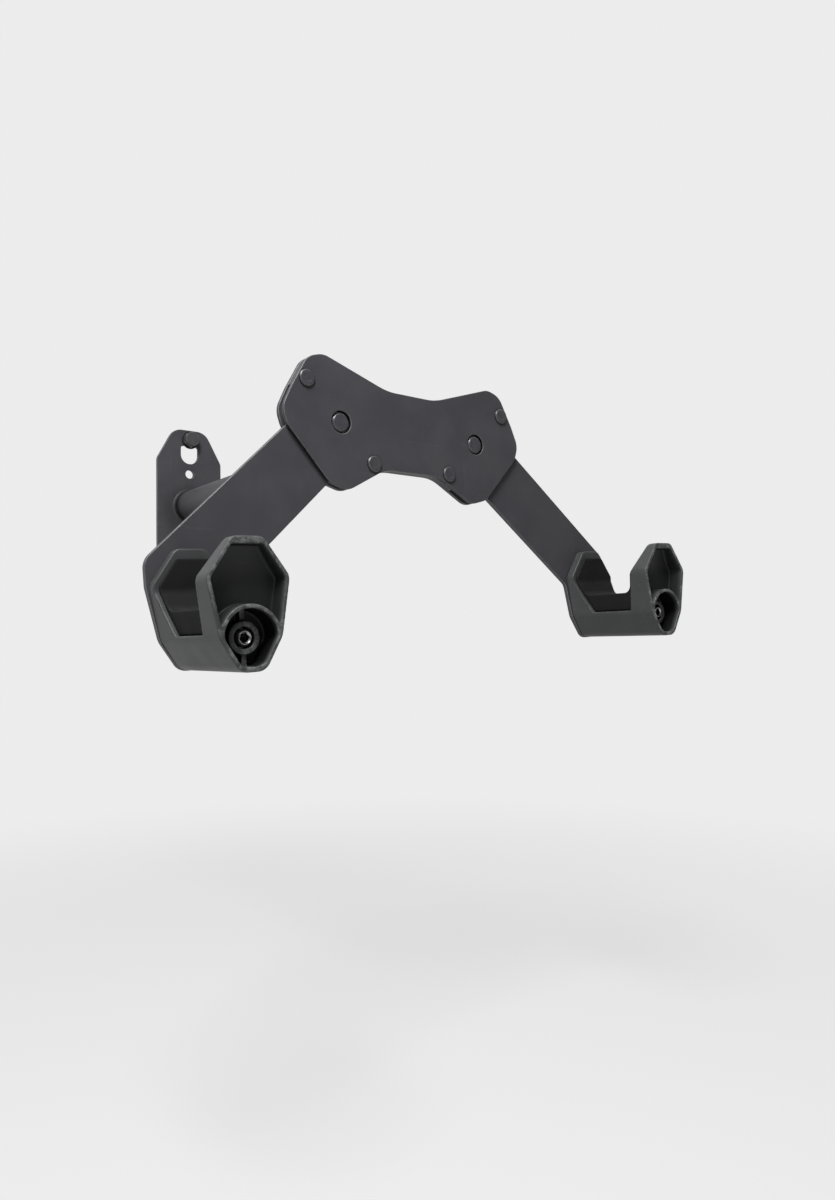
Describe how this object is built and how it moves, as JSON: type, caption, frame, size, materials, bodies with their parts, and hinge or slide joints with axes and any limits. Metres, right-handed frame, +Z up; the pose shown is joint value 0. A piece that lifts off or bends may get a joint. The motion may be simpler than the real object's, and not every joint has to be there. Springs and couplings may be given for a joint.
{
  "type": "bicycle wall bracket",
  "caption": "Hinged wall bracket for a bicycle: a wall plate and round boom carry a bow-tie head, whose swinging flat arms end in swivelling, rubber-lined saddles for the top tube.",
  "frame": {"origin": "On the wall, at the middle of the wall plate's back face, on the boom's axis", "axes": "+Y runs into the wall, so the boom stands out along -Y; +Z is up; +X is to the right for someone who faces the wall"},
  "size_m": [0.3406, 0.4018, 0.2091],
  "materials": {
    "powder_coat": "satin black powder coat on steel",
    "rivet": "black, slightly shiny",
    "moulding": "fine-grained grey-black moulding",
    "rubber": "matt",
    "dark_steel": "blackened, semi-bright",
    "zinc_steel": "zinc plated",
    "bush": "grey nylon"
  },
  "bodies": {
    "bracket": {"wall_plate": "powder_coat", "boom_tube": "powder_coat", "rear_bridge_plate": "powder_coat", "centre_spacer": "powder_coat", "front_bridge_plate": "powder_coat", "left_pivot_rivet": "rivet", "right_pivot_rivet": "rivet", "left_upper_rivet": "rivet", "left_lower_rivet": "rivet", "right_upper_rivet": "rivet", "right_lower_rivet": "rivet", "upper_wall_washer": "dark_steel", "upper_wall_screw": "dark_steel", "lower_wall_washer": "dark_steel", "lower_wall_screw": "dark_steel"},
    "left_arm": {"left_arm": "powder_coat", "left_pivot_bush": "bush", "left_saddle_bolt": "dark_steel", "left_bolt_washer": "dark_steel", "left_swivel_sleeve": "zinc_steel", "left_rear_washer": "dark_steel", "left_lock_nut": "dark_steel"},
    "right_arm": {"right_arm": "powder_coat", "right_pivot_bush": "bush", "right_saddle_bolt": "dark_steel", "right_bolt_washer": "dark_steel", "right_swivel_sleeve": "zinc_steel", "right_rear_washer": "dark_steel", "right_lock_nut": "dark_steel"},
    "left_saddle": {"left_saddle": "moulding", "left_liner": "rubber"},
    "right_saddle": {"right_saddle": "moulding", "right_liner": "rubber"}
  },
  "joints": [
    {"name": "left_arm_pivot", "type": "hinge", "parent": "bracket", "child": "left_arm", "pos_m": [-0.051, -0.3323, 0], "axis": [0, -1, 0], "range_deg": [-38.5, 41.5]},
    {"name": "right_arm_pivot", "type": "hinge", "parent": "bracket", "child": "right_arm", "pos_m": [0.051, -0.3323, 0], "axis": [0, 1, 0], "range_deg": [-30.5, 49.5]},
    {"name": "left_saddle_swivel", "type": "hinge", "parent": "left_arm", "child": "left_saddle", "pos_m": [-0.1411, -0.3678, -0.12261], "axis": [0, -1, 0], "range_deg": [-70, 70]},
    {"name": "right_saddle_swivel", "type": "hinge", "parent": "right_arm", "child": "right_saddle", "pos_m": [0.15729, -0.3678, -0.10888], "axis": [0, 1, 0], "range_deg": [-70, 70]}
  ]
}
